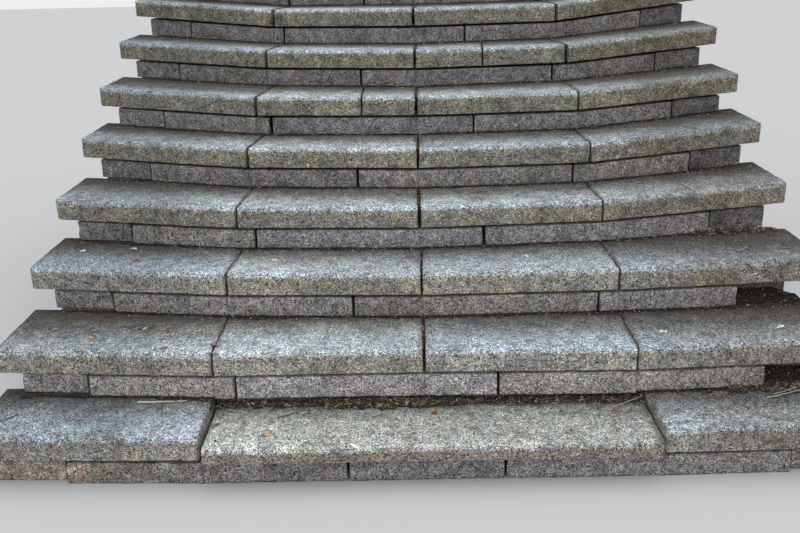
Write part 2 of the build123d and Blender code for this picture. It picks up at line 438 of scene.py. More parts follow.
def add_piece(name, mesh, material, slot="riser_stone", node=None):
    """A mesh as a piece of the scene, standing for a CAD node if one is given."""
    mesh.materials.append(material)
    mesh.update()
    piece = add_object(name, mesh)
    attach(piece, "root")
    if node:
        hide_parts(node)


class Stones:
    """Gathers the stones of one piece and writes them as one mesh, with masks and tones."""

    def __init__(self):
        self.parts, self.count = [], 0

    def add(self, points, faces, ring, masks=None, tones=None):
        count = len(points)
        masks = np.zeros((count, 4)) if masks is None else masks
        tones = np.full((count, 3), 0.5) if tones is None else tones
        ring = [int(i) + self.count for i in ring]
        self.parts.append((points, faces + self.count, ring, masks, tones))
        self.count += count

    def write(self, name, material, node=None, slot="riser_stone"):
        points, faces, rings, masks, tones = zip(*self.parts)
        points = np.concatenate(points) + (0, PLAN_SHIFT, 0)
        points[:, 2] = np.maximum(points[:, 2], 0)
        mesh = new_mesh(name, points, np.concatenate(faces).tolist() + list(rings))
        mesh.polygons.foreach_set("use_smooth", [True] * len(mesh.polygons))
        paint(mesh, "mask", np.concatenate(masks))
        paint(mesh, "tone", columns([np.concatenate(tones), np.ones(self.count)]))
        add_piece(name, mesh, material, slot, node)


def tread_masks(world, box, top, to_end, to_finish, course, thin, seed, waver):
    """Where a tread is pale with wear and painted highlight, and dark with soil and painted shade;
    waver moves the pale band's rear.
    """
    back = box[:, 1]
    behind = back + 0.035 * fractal(world, 0.12, 2, seed + 1) + waver
    rough_line = 0.022 * fractal(world, 0.07, 3, seed + 3)
    # The pale band is wear with a painted highlight. It fades back from the nosing and is narrower
    # on higher courses, with a sharper painted highlight line along the nosing.
    if thin:
        wear_and_highlight = 0.55 * (1 - smooth(0.06, 0.35, behind))
        wear_and_highlight = wear_and_highlight + 0.55 * np.exp(-(((back - 0.012) / 0.014) ** 2))
        rear = 0.285
    else:
        wear_and_highlight = 0.85 * (1 - smooth(0.05, 0.34 - 0.018 * (course - 1), behind))
        wear_and_highlight = wear_and_highlight + 0.15 * np.exp(-back / 0.03)
        # On higher courses the soiled band at the rear reaches further forward: soil, and painted
        # shade at the foot of the riser above.
        rear = RUN - 0.015 - 0.015 * max(0, course - 4)
    soil = smooth(rear - 0.035, rear + 0.035, back + rough_line) * top
    if thin:
        soil = np.maximum(soil, 0.25 * smooth(0.20, 0.26, back + rough_line) * top)
        at_right = 1 - smooth(0.008, 0.045, to_finish + 0.6 * rough_line)
        soil = np.maximum(soil, 0.8 * at_right * top)
    at_joint = 1 - smooth(0.004, 0.020, to_end)
    return wear_and_highlight, np.maximum(soil, 0.6 * at_joint * top * smooth(0.02, 0.08, back))


def tread_tone(world, lift, height, top, left, right, course, warm, pale):
    """Gain, red and blue of a tread slab, at points lifted by so much from its underside."""
    x = world[:, 0]
    if course <= len(FRONT_GAINS):
        on_front = FRONT_GAINS[course - 1]
    else:
        on_front = UPPER_FRONT_GAIN * UPPER_FRONT_FADE ** (course - 4)
    on_front = on_front * (1 - 0.16 * left - 0.23 * right) * (1.12 - 0.14 * lift / height)
    on_top = (TOP_GAIN - TOP_FADE * (course - 1)) * (1 - 0.4 * left - 0.3 * right) * (1 - 0.13 * x)
    gain = (on_front * (1 - top) + on_top * top) * (1 + 0.06 * pale)
    from_patch = x - PATCH_AT[0]
    beside = world[:, 1] - PATCH_SLANT * from_patch - PATCH_AT[1]
    patch = np.exp(-((from_patch / PATCH_SIZE[0]) ** 2) - (beside / PATCH_SIZE[1]) ** 2)
    patch = patch * top * float(course == 2)
    gain = gain * (1 + 0.45 * patch)
    red = 1 + 0.02 * warm + right * (0.05 + 0.02 * top) + 0.22 * patch
    blue = 1 - 0.04 * warm - right * (0.02 + 0.04 * top)
    return gain, red, blue + (1 - top) * (0.03 - 0.022 * (course - 1))


def block_tone(x, left, right, course, warm, pale, dark_end):
    """Gain, red and blue of a riser block."""
    gain = FIRST_BLOCK_GAIN
    if course > 1:
        gain = BLOCK_GAIN + BLOCK_GAIN_LEFT * BLOCK_FADE ** (course - 2)
    gain = gain * (1 - 0.06 * left - 0.06 * right) * (1 + 0.14 * pale)
    if dark_end:
        gain = gain * DARK_END_GAIN
    rusty = float(course == 1) * (1 - smooth(*RUST_EDGE, x))
    gain = gain * (1.03 + 0.30 * rusty)
    red = 1 + 0.025 * warm + 0.03 * right + 0.13 * rusty
    return gain, red, 1 - 0.05 * warm - (0.14 * left if course == 1 else 0)


def stone(
    corners, low, high, kind, course, chips, rounded=0, joined=(0, 0), seed=None, dark_end=False
):
    """One worn stone over four plan corners; low and high give its underside and top at x and y."""
    c = np.array(corners)
    length = (np.linalg.norm(c[1] - c[0]) + np.linalg.norm(c[2] - c[3])) / 2
    depth = (np.linalg.norm(c[3] - c[0]) + np.linalg.norm(c[2] - c[1])) / 2
    middle = c.mean(axis=0)
    height = float((high(middle[:1], middle[1:]) - low(middle[:1], middle[1:]))[0])
    tread = kind == "tread"
    seed = int(random.integers(1, 10**6)) if seed is None else seed
    xs = ticks(length, [0] if joined[0] else ARRIS, [0] if joined[1] else ARRIS)
    if tread:
        seen = min(RUN + FINE_PAST_RUN, depth - COARSE_REAR)
        even = np.arange(NOSE[-1] + GRID, seen, GRID)
        ys = np.concatenate([NOSE, even, np.linspace(seen, depth, 4)])
        zs = ticks(height, ARRIS[:5], NOSE[:8])
    else:
        ys = np.array([*BLOCK_FACE, depth - BLOCK_REAR, depth])
        zs = ticks(height, ARRIS[:5], ARRIS[:5])
    triples, faces, ring = lattice_box(len(xs) - 1, len(ys) - 1, len(zs) - 1)
    box = columns([xs[triples[:, 0]], ys[triples[:, 1]], zs[triples[:, 2]]])
    size = np.array([length, depth, height])
    p = round_edges(box, size, ARRIS_RADIUS if tread else BLOCK_ARRIS_RADIUS, joined)
    if tread:
        p = round_corner(p, [1, 2], [NOSING_RADIUS, height - NOSING_RADIUS], (-1, 1))
        for end in (-1, 1):
            r = CORNER_RADIUS if end == rounded else JOINT_CORNER_RADIUS
            centre = [length - r if end > 0 else r, r]
            p = round_corner(p, [0, 1], centre, (end, -1))

    def place(q):
        """Box coordinates to the plan and height of this stone."""
        xy = across(c, q[:, :1] / length, q[:, 1:2] / depth)
        bottom, top = low(xy[:, 0], xy[:, 1]), high(xy[:, 0], xy[:, 1])
        z = bottom + (top - bottom) * q[:, 2] / height
        return columns([xy, z])

    world = place(p)
    normals = vertex_normals(world, faces)
    to_start = np.full(len(box), 1.0) if joined[0] else box[:, 0]
    to_finish = np.full(len(box), 1.0) if joined[1] else length - box[:, 0]
    to_end = np.minimum(to_start, to_finish)
    to_top = height - box[:, 2]
    arrises = ((box[:, 1], to_top), (box[:, 1], box[:, 2]), (to_end, box[:, 1]), (to_end, to_top))
    edge = np.exp(-np.minimum.reduce([np.hypot(*pair) for pair in arrises]) / ARRIS_REACH)
    worn = WORN_DEPTH + 0.0010 * fractal(world, 0.22, 2, seed)
    worn = worn + 0.0009 * fractal(world, 0.035, 2, seed + 5)
    worn = worn + edge * np.maximum(0, ARRIS_WORN + 0.0040 * fractal(world, 0.06, 3, seed + 9))
    worn = np.maximum(worn, LEAST_WORN)
    fixed = triples[:, 2] == 0
    step = normals * worn[:, None]
    step[fixed, 2] = 0
    along = (c[1] - c[0]) / np.linalg.norm(c[1] - c[0])
    for end, at in enumerate((0, len(xs) - 1)):
        if joined[end]:
            here = triples[:, 0] == at
            step[here, :2] -= (step[here, :2] @ along)[:, None] * along
    world = world - step

    def chip_at(spot, radius, n):
        centre = place(np.array([spot]))[0]
        before = world[fixed, 2]
        knock_off(world, centre, radius, seed + n)
        world[fixed, 2] = before

    for chip in range(random.poisson(chips)):
        at = draw(0.02, length - 0.02)
        radius = draw(*(SMALL_CHIP if random.random() < SMALL_SHARE else LARGE_CHIP))
        if random.random() < SHARP_EDGE_SHARE:
            z = -0.25 * radius if tread else height + 0.25 * radius
            chip_at([at, -0.55 * radius, z], radius, chip)
        else:
            z = height + (-0.6 * NOSING_RADIUS if tread else 0.5 * radius)
            chip_at([at, -0.45 * radius, z], radius, chip)
    for end in (0, 1):
        if not joined[end]:
            for chip in range(END_CHIPS):
                radius = draw(*END_CHIP)
                out = -0.5 * radius if end == 0 else length + 0.5 * radius
                y, z = draw(-0.01, 0.02), draw(0.1, 1.0) * height
                chip_at([out, y, z], radius, 50 + chip)
            if tread and random.random() < CORNER_SHARE:
                radius = draw(*CORNER_CHIP)
                chip_at([0 if end == 0 else length, -0.002, height - 0.002], radius, 60 + end)

    x = world[:, 0]
    waver = draw(-0.03, 0.03)  # drawn for a block too, so that the draws keep their order
    if tread:
        top = smooth(0.1, 0.85, normals[:, 2])
        thin = height < THICKNESS - 0.01
        wear_and_highlight, soil = tread_masks(world, box, top, to_end, to_finish, course, thin, seed, waver)
    else:
        top, wear_and_highlight = np.zeros(len(x)), np.zeros(len(x))
        # The lowest few millimetres of a block take the soil colour: soil, and painted shade where
        # the block meets the tread below.
        foot = box[:, 2] + 0.004 * fractal(world, 0.05, 2, seed + 3)
        soil = 0.8 * (1 - smooth(0.0, 0.007, foot))
    left, right = smooth(*LEFT_SIDE, -x), smooth(*RIGHT_SIDE, x)
    moss = np.maximum(0.5 * left, right) * smooth(-0.5, 0.4, fractal(world, 0.25, 3, 77))
    masks = columns([top, wear_and_highlight, soil, moss])

    own = np.random.default_rng(seed)
    warm, pale = own.uniform(-1, 1), own.uniform(-1, 1)
    if tread:
        gain, red, blue = tread_tone(world, box[:, 2], height, top, left, right, course, warm, pale)
    else:
        gain, red, blue = block_tone(x, left, right, course, warm, pale, dark_end)
    tones = columns([0.5 * gain * red, 0.5 * gain, 0.5 * gain * blue])
    return world, faces, ring, masks, tones


# Materials: cells of aggregate to a metre, then noise with the multipliers that it gives
COARSE_CELLS = 225
FINE_CELLS = 410
HUE_CELLS = 260
HUE_SHARE = 0.20
PATCHES = ((5.0, 6, 0.6, 0.6), (0.3, 0.8), (0.5, 1.0), (0.7, 1.16))
MOTTLE = ((20.0, 7, 0.75, 0.6), (0.33, 0.52), (0.5, 1.0), (0.67, 1.50))
GRAIN = ((90.0, 5, 0.75, 0.3), (0.33, 0.58), (0.5, 1.0), (0.67, 1.46))
STAIN = (0.52, 0.49, 0.42)
WHITE = (1.0, 1.0, 1.0)
TWICE = (2.0, 2.0, 2.0)
SPECULAR = 0.3
BITS_ROUGHNESS = 0.9


class Nodes:
    """Short calls for building a tree of nodes."""

    def __init__(self, tree):
        self.tree = tree

    def fill(self, node, inputs):
        """Links or sets a node's inputs."""
        for socket, value in inputs.items():
            if isinstance(value, bpy.types.NodeSocket):
                self.tree.links.new(value, node.inputs[socket])
            else:
                node.inputs[socket].default_value = value

    def make(self, kind, inputs, **settings):
        node = self.tree.nodes.new("ShaderNode" + kind)
        for key, value in settings.items():
            setattr(node, key, value)
        self.fill(node, inputs)
        return node

    def output(self, kind, output, inputs, **settings):
        return self.make(kind, inputs, **settings).outputs[output]


class Shader(Nodes):
    """One procedural material."""

    def __init__(self, name):
        self.material = bpy.data.materials.new(name)
        self.material.use_nodes = True
        super().__init__(self.material.node_tree)
        self.coords = self.output("TexCoord", "Object", {})

    def noise(self, scale, detail, roughness, distortion=0.0):
        inputs = {"Vector": self.coords, "Scale": scale, "Detail": detail}
        inputs |= {"Roughness": roughness, "Distortion": distortion}
        return self.output("TexNoise", "Fac", inputs)

    def cells(self, scale, output):
        return self.output("TexVoronoi", output, {"Vector": self.coords, "Scale": scale})

    def split(self, colour):
        return self.make("SeparateColor", {"Color": colour}).outputs

    def cell_values(self, scale):
        return self.split(self.cells(scale, "Color"))["Red"]

    def ramp(self, value, *stops):
        """Each stop is its place, then one grey or a colour's three parts."""
        node = self.make("ValToRGB", {"Fac": value})
        elements = node.color_ramp.elements
        while len(elements) < len(stops):
            elements.new(0.5)
        for element, (position, *colour) in zip(elements, stops):
            element.position = position
            element.color = (*(colour if len(colour) == 3 else colour * 3), 1)
        return node.outputs["Color"]

    def mix(self, factor, a, b, blend="MIX"):
        a, b = ((*colour, 1) if isinstance(colour, tuple) else colour for colour in (a, b))
        settings = {"data_type": "RGBA", "blend_type": blend, "clamp_result": False}
        return self.output("Mix", 2, {0: factor, 6: a, 7: b}, **settings)

    def times(self, a, b):
        return self.mix(1.0, a, b, "MULTIPLY")

    def math(self, operation, a, b, clamp=False):
        return self.output("Math", 0, {0: a, 1: b}, operation=operation, use_clamp=clamp)

    def spread(self, value, low, high):
        inputs = {"Value": value, "From Min": low, "From Max": high}
        return self.output("MapRange", "Result", inputs, interpolation_type="SMOOTHSTEP")

    def masks(self):
        layer = self.make("VertexColor", {}, layer_name="mask").outputs
        split = self.split(layer["Color"])
        return split["Red"], split["Green"], split["Blue"], layer["Alpha"]

    def tone(self, colour):
        """The colour times twice the mesh's tone."""
        tone = self.output("VertexColor", "Color", {}, layer_name="tone")
        return self.times(colour, self.times(tone, TWICE))

    def finish(self, colour, roughness, height=None, strength=0.0, distance=0.0):
        inputs = {"Base Color": colour, "Roughness": roughness, "Specular IOR Level": SPECULAR}
        if height is not None:
            bump = {"Height": height, "Strength": strength, "Distance": distance}
            inputs["Normal"] = self.output("Bump", "Normal", bump)
        self.fill(self.tree.nodes["Principled BSDF"], inputs)
        return self.material


def aggregate(s):
    """Multipliers of a concrete full of small light and dark stones in slightly different hues."""
    stops = [
        (0.0, 0.10, 0.095, 0.09), (0.12, 0.46, 0.43, 0.41), (0.28, 0.93, 0.90, 0.86),
        (0.50, 0.96, 0.98, 1.01), (0.72, 1.09, 1.08, 1.06), (0.88, 1.32, 1.31, 1.28),
        (1.0, 1.65, 1.65, 1.65),
    ]
    coarse = s.ramp(s.cell_values(COARSE_CELLS), *stops)
    fine = s.ramp(s.cell_values(FINE_CELLS), (0.0, 0.12), (0.3, 0.72), (0.7, 1.20), (1.0, 1.8))
    hues = s.mix(HUE_SHARE, WHITE, s.times(s.cells(HUE_CELLS, "Color"), TWICE))
    return s.times(s.times(coarse, fine), hues)


def stone_material(name, top, nosing, front, ochre, soil, moss):
    s = Shader(name)
    is_top, is_wear_and_highlight, is_soil_and_shade, is_moss = s.masks()
    face = s.mix(s.spread(s.noise(11.0, 6, 0.65, 1.2), 0.42, 0.68), front, ochre)
    # Tops are mixed towards the nosing colour by the wear-and-highlight mask: worn stone with a
    # painted bluish highlight.
    colour = s.mix(is_top, face, s.mix(is_wear_and_highlight, top, nosing))
    for settings, *stops in (PATCHES, MOTTLE, GRAIN):
        colour = s.times(colour, s.ramp(s.noise(*settings), *stops))
    colour = s.tone(s.times(colour, aggregate(s)))
    stained = s.math("ADD", s.math("MULTIPLY", is_moss, 0.6), 0.15)
    stained = s.math("MULTIPLY", s.spread(s.noise(9.0, 6, 0.7, 1.0), 0.5, 0.72), stained)
    colour = s.mix(stained, colour, s.times(colour, STAIN))
    # The soil colour goes where the soil mask is: soil, with painted shade at the riser feet.
    dirt_and_shade = s.math("MULTIPLY", is_soil_and_shade, s.spread(s.noise(45.0, 5, 0.7), 0.3, 0.62), True)
    colour = s.mix(dirt_and_shade, colour, soil)
    growth = s.math("MULTIPLY", is_moss, s.spread(s.noise(22.0, 6, 0.7), 0.42, 0.72), True)
    colour = s.mix(s.math("MULTIPLY", growth, 0.4), colour, moss)
    rough = s.math("MULTIPLY", s.noise(320.0, 3, 0.6), 1.2)
    pits = s.math("ADD", s.cells(COARSE_CELLS, "Distance"), rough)
    return s.finish(colour, 0.92, pits, 0.6, 0.0024)


tread_stone = stone_material(
    "tread_stone",
    # nosing: worn stone with a painted bluish highlight
    top=(0.136, 0.135, 0.127), nosing=(0.400, 0.452, 0.490),
    front=(0.216, 0.209, 0.192), ochre=(0.258, 0.230, 0.178),
    soil=(0.075, 0.060, 0.048), moss=(0.10, 0.095, 0.062),
)
thin_stone = stone_material(
    "thin_slab_stone",
    top=(0.305, 0.310, 0.280), nosing=(0.450, 0.455, 0.425),
    front=(0.196, 0.168, 0.141), ochre=(0.212, 0.180, 0.138),
    soil=(0.075, 0.062, 0.048), moss=(0.12, 0.115, 0.075),
)
riser_stone = stone_material(
    "riser_stone",
    top=(0.16, 0.155, 0.15), nosing=(0.18, 0.175, 0.17),
    front=(0.254, 0.243, 0.240), ochre=(0.270, 0.253, 0.244),
    # soil: darkens only the feet of the blocks, as soil and painted shade
    soil=(0.050, 0.041, 0.035), moss=(0.09, 0.085, 0.06),
)


def soil_material():
    s = Shader("soil")
    tone = s.ramp(s.noise(120.0, 5, 0.7), (0.3, 0.015, 0.011, 0.009), (0.7, 0.060, 0.043, 0.033))
    crumbs = s.ramp(s.cell_values(210), (0.0, 0.5), (0.5, 1.0), (0.92, 1.2), (1.0, 2.4))
    colour = s.mix(0.8, tone, crumbs, "MULTIPLY")
    return s.finish(colour, 0.97, s.noise(260.0, 4, 0.7), 0.8, 0.003)


def bed_material():
    s = Shader("bed_concrete")
    stops = [(0.25, 0.13, 0.125, 0.11), (0.5, 0.19, 0.185, 0.165), (0.75, 0.25, 0.245, 0.225)]
    colour = s.times(s.ramp(s.noise(3.0, 7, 0.62, 0.8), *stops), aggregate(s))
    return s.finish(colour, 0.94, s.noise(60.0, 8, 0.7), 0.6, 0.006)


bed_look = bed_material()
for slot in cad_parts["concrete_bed"].material_slots:
    slot.material = bed_look


# Tread slabs


def tread(
    course, slab, outlines, name, material=tread_stone, slot="tread_stone", thickness=THICKNESS
):
    stones = Stones()
    rounded = {0: -1, LAST: 1}.get(slab, 0)

    def low(x, y):
        return course * RISE - THICKNESS + slab_lift(course, slab, x, y)

    def high(x, y):
        return low(x, y) + thickness

    for outline in outlines:
        stones.add(*stone(outline, low, high, "tread", course, TREAD_CHIPS, rounded))
    stones.write(name, material, name, slot)


def cut_across(corners, x_front, x_rear):
    """Two outlines, left and right of a cut that meets the front and the rear at the given X."""

    def at(start, end, x):
        (x0, y0), (x1, y1) = corners[start], corners[end]
        return (x, y0 + (y1 - y0) * (x - x0) / (x1 - x0))

    left = [corners[0], at(0, 1, x_front - HALF_CUT), at(3, 2, x_rear - HALF_CUT), corners[3]]
    right = [at(0, 1, x_front + HALF_CUT), corners[1], corners[2], at(3, 2, x_rear + HALF_CUT)]
    return [left, right]


for course in range(2, COURSES + 1):
    for slab, slab_name in enumerate(SLAB_NAMES):
        corners = slab_corners(course, slab)
        outlines = [corners]
        if (course, slab) == (6, 1):
            outlines = cut_across(corners, -SHORT_SLAB, -SHORT_SLAB)
        if (course, slab) == (7, 2):
            outlines = cut_across(corners, CRACK_AT, CRACK_AT + CRACK_LEAN)
        tread(course, slab, outlines, f"tread_{course}_{slab_name}")

left_gap, right_gap = joint_width(1, 1) / 2, joint_width(1, 3) / 2
for slab, slab_name, gaps in ((0, "left", (0, left_gap)), (LAST, "right", (right_gap, 0))):
    corners = band(1, slab, 0, SLAB_DEPTH, None, None, *gaps)
    tread(1, slab, [corners], f"tread_1_{slab_name}")


def upright(left, right, front, rear):
    """Corners of a rectangle in line with the flight."""
    return [(left, front), (right, front), (right, rear), (left, rear)]


thin_left, thin_right = left_gap - THIN_LEFT, THIN_RIGHT - right_gap
corners = upright(thin_left, thin_right, -THIN_SLIDE, THIN_DEPTH - THIN_SLIDE)
tread(1, 1, [corners], "tread_1_middle", thin_stone, "thin_slab_stone", THIN_THICKNESS)

# Riser blocks
for course in range(1, COURSES + 1):
    stones = Stones()
    for block, slab, corners, joined in block_bands(course):

        def low(x, y):
            lift = -MIDDLE_FOOT_DROP if course == 2 and slab in (1, 2) else FOOT_GAP
            return surface(course - 1, x, y) + lift if course > 1 else np.zeros_like(x)

        def high(x, y):
            return course * RISE - THICKNESS - SHADOW_GAP + slab_lift(course, slab, x, y)

        dark = course > 1 and block == len(block_cuts(course)) - 2 or (course, block) == (4, 0)
        worn = {"joined": joined, "seed": 1000 * course + 50 * block, "dark_end": dark}
        stones.add(*stone(corners, low, high, "riser", course, BLOCK_CHIPS, **worn))
    stones.write(f"riser_{course}_blocks", riser_stone, f"riser_{course}")

# Soil, grit and leaf litter. Banks of soil lie against the risers
RIDGE_SPACING = 0.0095
FOOT_SOIL, POCKET_SOIL, HOLLOW_SOIL, HEAP_SOIL = 0.0035, 0.030, 0.050, 0.022
BANK_TAPER = 0.09
HEAP_MARGIN = 0.12
AT_RISER = SETBACK + 0.003
FILL_START = 0.035
FILL_HALF_WIDTH = 0.0035
FILL_ROWS = 36
FILL_FOOT = 0.05
JOINT_BITS = 16
ON_JOINT_SOIL = 0.007
MANY_CRUMBS = 1.5


def line_y(course, x, behind):
    """Plan Y of the line at a distance behind a course's nosing."""
    points = nosing_points(course)
    y = np.zeros_like(x)
    for slab in range(4):
        turn = radians(TURNS[course][slab])
        here = np.ones_like(x, bool) if slab == 0 else x >= points[slab][0]
        along = points[slab][1] + (x - points[slab][0]) * tan(turn) + behind / cos(turn)
        y = np.where(here, along, y)
    return y


banks = []


def ridge(corners, ground, height, seed, reach, rows=8, crumbs=0.5):
    """A ragged bank of soil, highest along its rear edge, with crumbs on a share of its points."""
    length = float(np.linalg.norm(np.subtract(corners[1], corners[0])))
    nx = max(3, round(length / RIDGE_SPACING))
    is_top, back, xy, flat, faces, ring = bar(corners, nx, rows)
    patch = 0.5 + 0.5 * fractal(flat, 0.24, 3, seed)
    near = reach * (0.25 + 1.1 * patch) + 0.25 * fractal(flat, 0.04, 3, seed + 3)
    t = np.clip((back - (1 - near)) / np.maximum(near, 0.05), 0, 1)
    lumps = 0.0022 * fractal(flat, 0.014, 2, seed + 9)
    h = height * (0.3 + 0.7 * patch) * t**1.2 + lumps * smooth(0, 0.3, t)
    ends = smooth(RISER_SIDE - BANK_TAPER, RISER_SIDE + 0.02, np.abs(xy[:, 0]))
    h = h * (1 - 0.9 * ends) - 0.003 * (t <= 0)
    base = ground(xy[:, 0], xy[:, 1])
    z = np.where(is_top, base - 0.0012 + h, base - 0.006)
    points = columns([xy, z])
    seen = is_top & (h > 0.0015) & (xy[:, 0] < RISER_SIDE + 0.01)
    banks.append((crumbs, points[seen]))
    return points, faces, ring


soil = Stones()
for course in range(2, COURSES + 1):
    for slab in range(4):
        if course == 2 and slab in (1, 2):
            continue
        start = -RISER_SIDE if slab == 0 else None
        finish = RISER_SIDE if slab == LAST else None
        if (course, slab) == (2, LAST):
            start = THIN_RIGHT + 0.006
        corners = band(course, slab, SETBACK - 0.075, AT_RISER, start, finish)
        below = partial(surface, course - 1)
        soil.add(*ridge(corners, below, FOOT_SOIL, 100 * course + slab, 0.35))

# Behind the thin slab, in the hollows of the lost end blocks and along the joints
thin_rear = FIRST_RUN + SETBACK + 0.012
corners = upright(thin_left + 0.003, thin_right - 0.003, thin_rear - 0.085, thin_rear)
soil.add(*ridge(corners, lambda x, y: np.full_like(x, THIN_TOP), POCKET_SOIL, 5, 0.62, 14, 1.6))
for course in LOST_END_BLOCKS:
    inner = RISER_SIDE - END_BLOCK + 0.004
    rear = SETBACK + BLOCK_DEPTH - 0.004
    corners = band(course, LAST, -0.03, rear, inner, RISER_SIDE + 0.02)
    soil.add(*ridge(corners, partial(surface, course - 1), HOLLOW_SOIL, 40 + course, 0.9, 16, 0.9))
for course, start in HEAPS.items():
    outer = RISER_SIDE + 0.03
    corners = band(course + 1, LAST, SETBACK - 0.11, AT_RISER, start, outer)
    soil.add(*ridge(corners, partial(surface, course), HEAP_SOIL, 60 + course, 0.75, 14, 1.8))
for course in range(2, COURSES + 1):
    for joint in (1, 2, 3):
        point, turn = nosing_points(course)[joint], joint_turns(course)[joint] - 90
        (x0, y0), (x1, y1) = (set_back(point, turn, at) for at in (FILL_START, RUN + 0.01))
        side = FILL_HALF_WIDTH
        corners = [(x0 - side, y0), (x0 + side, y0), (x1 + side, y1), (x1 - side, y1)]
        is_top, back, xy, flat, faces, ring = bar(corners, 1, FILL_ROWS)
        depth = 0.016 + 0.007 * fractal(flat, 0.05, 3, course * 7 + joint)
        depth = depth + 0.03 * (1 - smooth(0, 0.12, back))
        z = surface(course, xy[:, 0], xy[:, 1]) - np.where(is_top, depth, FILL_FOOT)
        soil.add(columns([xy, z]), faces, ring)
soil.write("soil", soil_material())

# Templates of the bits: points and faces
PEBBLE = (
    np.array([[1, 0, 0], [-1, 0, 0], [0, 1, 0], [0, -1, 0], [0, 0, 1], [0, 0, -1]], float),
    [(0, 2, 4), (2, 1, 4), (1, 3, 4), (3, 0, 4), (2, 0, 5), (1, 2, 5), (3, 1, 5), (0, 3, 5)],
)
STALK = (PEBBLE[0] * (1, 0.06, 1), PEBBLE[1])
RIM = [(cos(a), sin(a) * 0.5 * (1.1 - 0.3 * cos(a)), 0) for a in np.linspace(0, 2 * pi, 7)[:-1]]
LEAF = (
    np.array([*RIM, (0, 0, 0.09), (0, 0, -0.05)], float),
    [(i, (i + 1) % 6, 6) for i in range(6)] + [((i + 1) % 6, i, 7) for i in range(6)],
)


def turn_matrices(count, tilt):
    """Random turns: any heading, and a tilt of up to the given angle."""
    whole = 2 * pi
    heading, lean, toward = (draw(0, most, count) for most in (whole, tilt, whole))
    flat = np.sin(lean)
    z = columns([flat * np.cos(toward), flat * np.sin(toward), np.cos(lean)])
    x = columns([np.cos(heading), np.sin(heading), np.zeros(count)])
    x = x - z * (x * z).sum(axis=1, keepdims=True)
    x /= np.linalg.norm(x, axis=1, keepdims=True)
    return np.stack([x, np.cross(z, x), z], axis=1)


def scatter(name, template, spots, sizes, flatness, tilt, material):
    """Many small pieces in one mesh, each with its own size, turn and tone."""
    corners, faces = template
    spots = np.concatenate(spots)
    count = len(spots)
    sizes = draw(*sizes, count) if isinstance(sizes, tuple) else sizes
    shape = corners[None] * (1 + 0.3 * draw(-1, 1, (count, len(corners), 1)))
    widths = sizes * draw(0.6, 1, count)
    shape = shape * columns([sizes, widths, sizes * flatness])[:, None]
    points = np.einsum("nvi,nij->nvj", shape, turn_matrices(count, tilt)) + spots[:, None]
    points = points.reshape(-1, 3) + (0, PLAN_SHIFT, 0)
    faces = np.array(faces)[None] + (np.arange(count) * len(corners))[:, None, None]
    mesh = new_mesh(name, points, faces.reshape(-1, 3).tolist())
    paint(mesh, "mask", np.repeat(draw(0, 1, (count, 4)), len(corners), axis=0))
    add_piece(name, mesh, material)


def on_thin_slab(x):
    return (x > -THIN_LEFT) & (x < THIN_RIGHT)


def litter_spots(tries, spread, sink):
    """Places on the treads, most of them close to the riser behind, and thick on the heaps."""
    spots = []
    for course in range(1, COURSES):
        x = draw(-RISER_SIDE, HALF_WIDTH - 0.04, tries)
        behind = random.exponential(spread, tries)
        patch = 0.5 + 0.5 * fractal(columns([x, x * 0 + course, x * 0]), 0.2, 2, 3)
        keep = patch > draw(0.1, 0.9, tries)
        start = HEAPS.get(course, HALF_WIDTH) - HEAP_MARGIN
        keep |= x > start
        behind = np.where(x > start, behind * 2.6, behind)
        x, behind = x[keep], behind[keep]
        y = line_y(course + 1, x, SETBACK) - behind - 0.002
        keep = y > line_y(course, x, 0.02)
        x, y = x[keep], y[keep]
        top = surface(course, x, y)
        if course == 1:
            banked = THIN_TOP + 0.012 * (1 - smooth(0.0, 0.03, thin_rear - y))
            top = np.where(on_thin_slab(x), banked, top)
        to_riser = line_y(course + 1, x, SETBACK) - y
        heaped = 0.016 * (x > start + HEAP_MARGIN) * (1 - smooth(0.0, 0.08, to_riser))
        heaped = heaped * (1 - smooth(RISER_SIDE - BANK_TAPER, RISER_SIDE - 0.01, x))
        spots += list(columns([x, y, top + heaped - sink]))
    return np.array(spots)


def bank_spots(share, lift, least=0):
    """Places on the banks of soil, or only on those with at least a share of crumbs."""
    spots = []
    for crumbs, points in banks:
        if crumbs >= least:
            picked = points[random.integers(0, len(points), int(share * crumbs * len(points)))]
            shift = draw(-0.004, 0.004, (len(picked), 2))
            spots.append(picked + columns([shift, np.full(len(picked), lift)]))
    return np.concatenate(spots)


def loose_spots(per_course, sink):
    """Places anywhere on the treads, and a few on the soil in each joint above the first course."""
    spots = []
    for course in range(1, COURSES + 1):
        x = draw(-HALF_WIDTH + 0.05, HALF_WIDTH - 0.05, per_course)
        y = line_y(course, x, 0) + draw(0.03, RUN, per_course)
        top = surface(course, x, y)
        if course == 1:
            top = np.where(on_thin_slab(x), THIN_TOP, top)
            y = np.where(on_thin_slab(x), np.minimum(y, 0.3), y)
        spots += list(columns([x, y, top - sink]))
        for joint in (1, 2, 3) if course > 1 else ():
            joint_x, joint_y = nosing_points(course)[joint]
            turn = radians(joint_turns(course)[joint] - 90)
            back = draw(0.03, RUN, JOINT_BITS)
            jitter = draw(-0.003, 0.003, JOINT_BITS)
            x = joint_x - back * sin(turn) + jitter
            y = joint_y + back * cos(turn)
            spots += list(columns([x, y, surface(course, x, y) - sink - ON_JOINT_SOIL]))
    return np.array(spots)


def bits_material(name, *stops):
    """A material of loose bits, whose masks choose their tone."""
    s = Shader(name)
    return s.finish(s.ramp(s.masks()[0], *stops), BITS_ROUGHNESS)


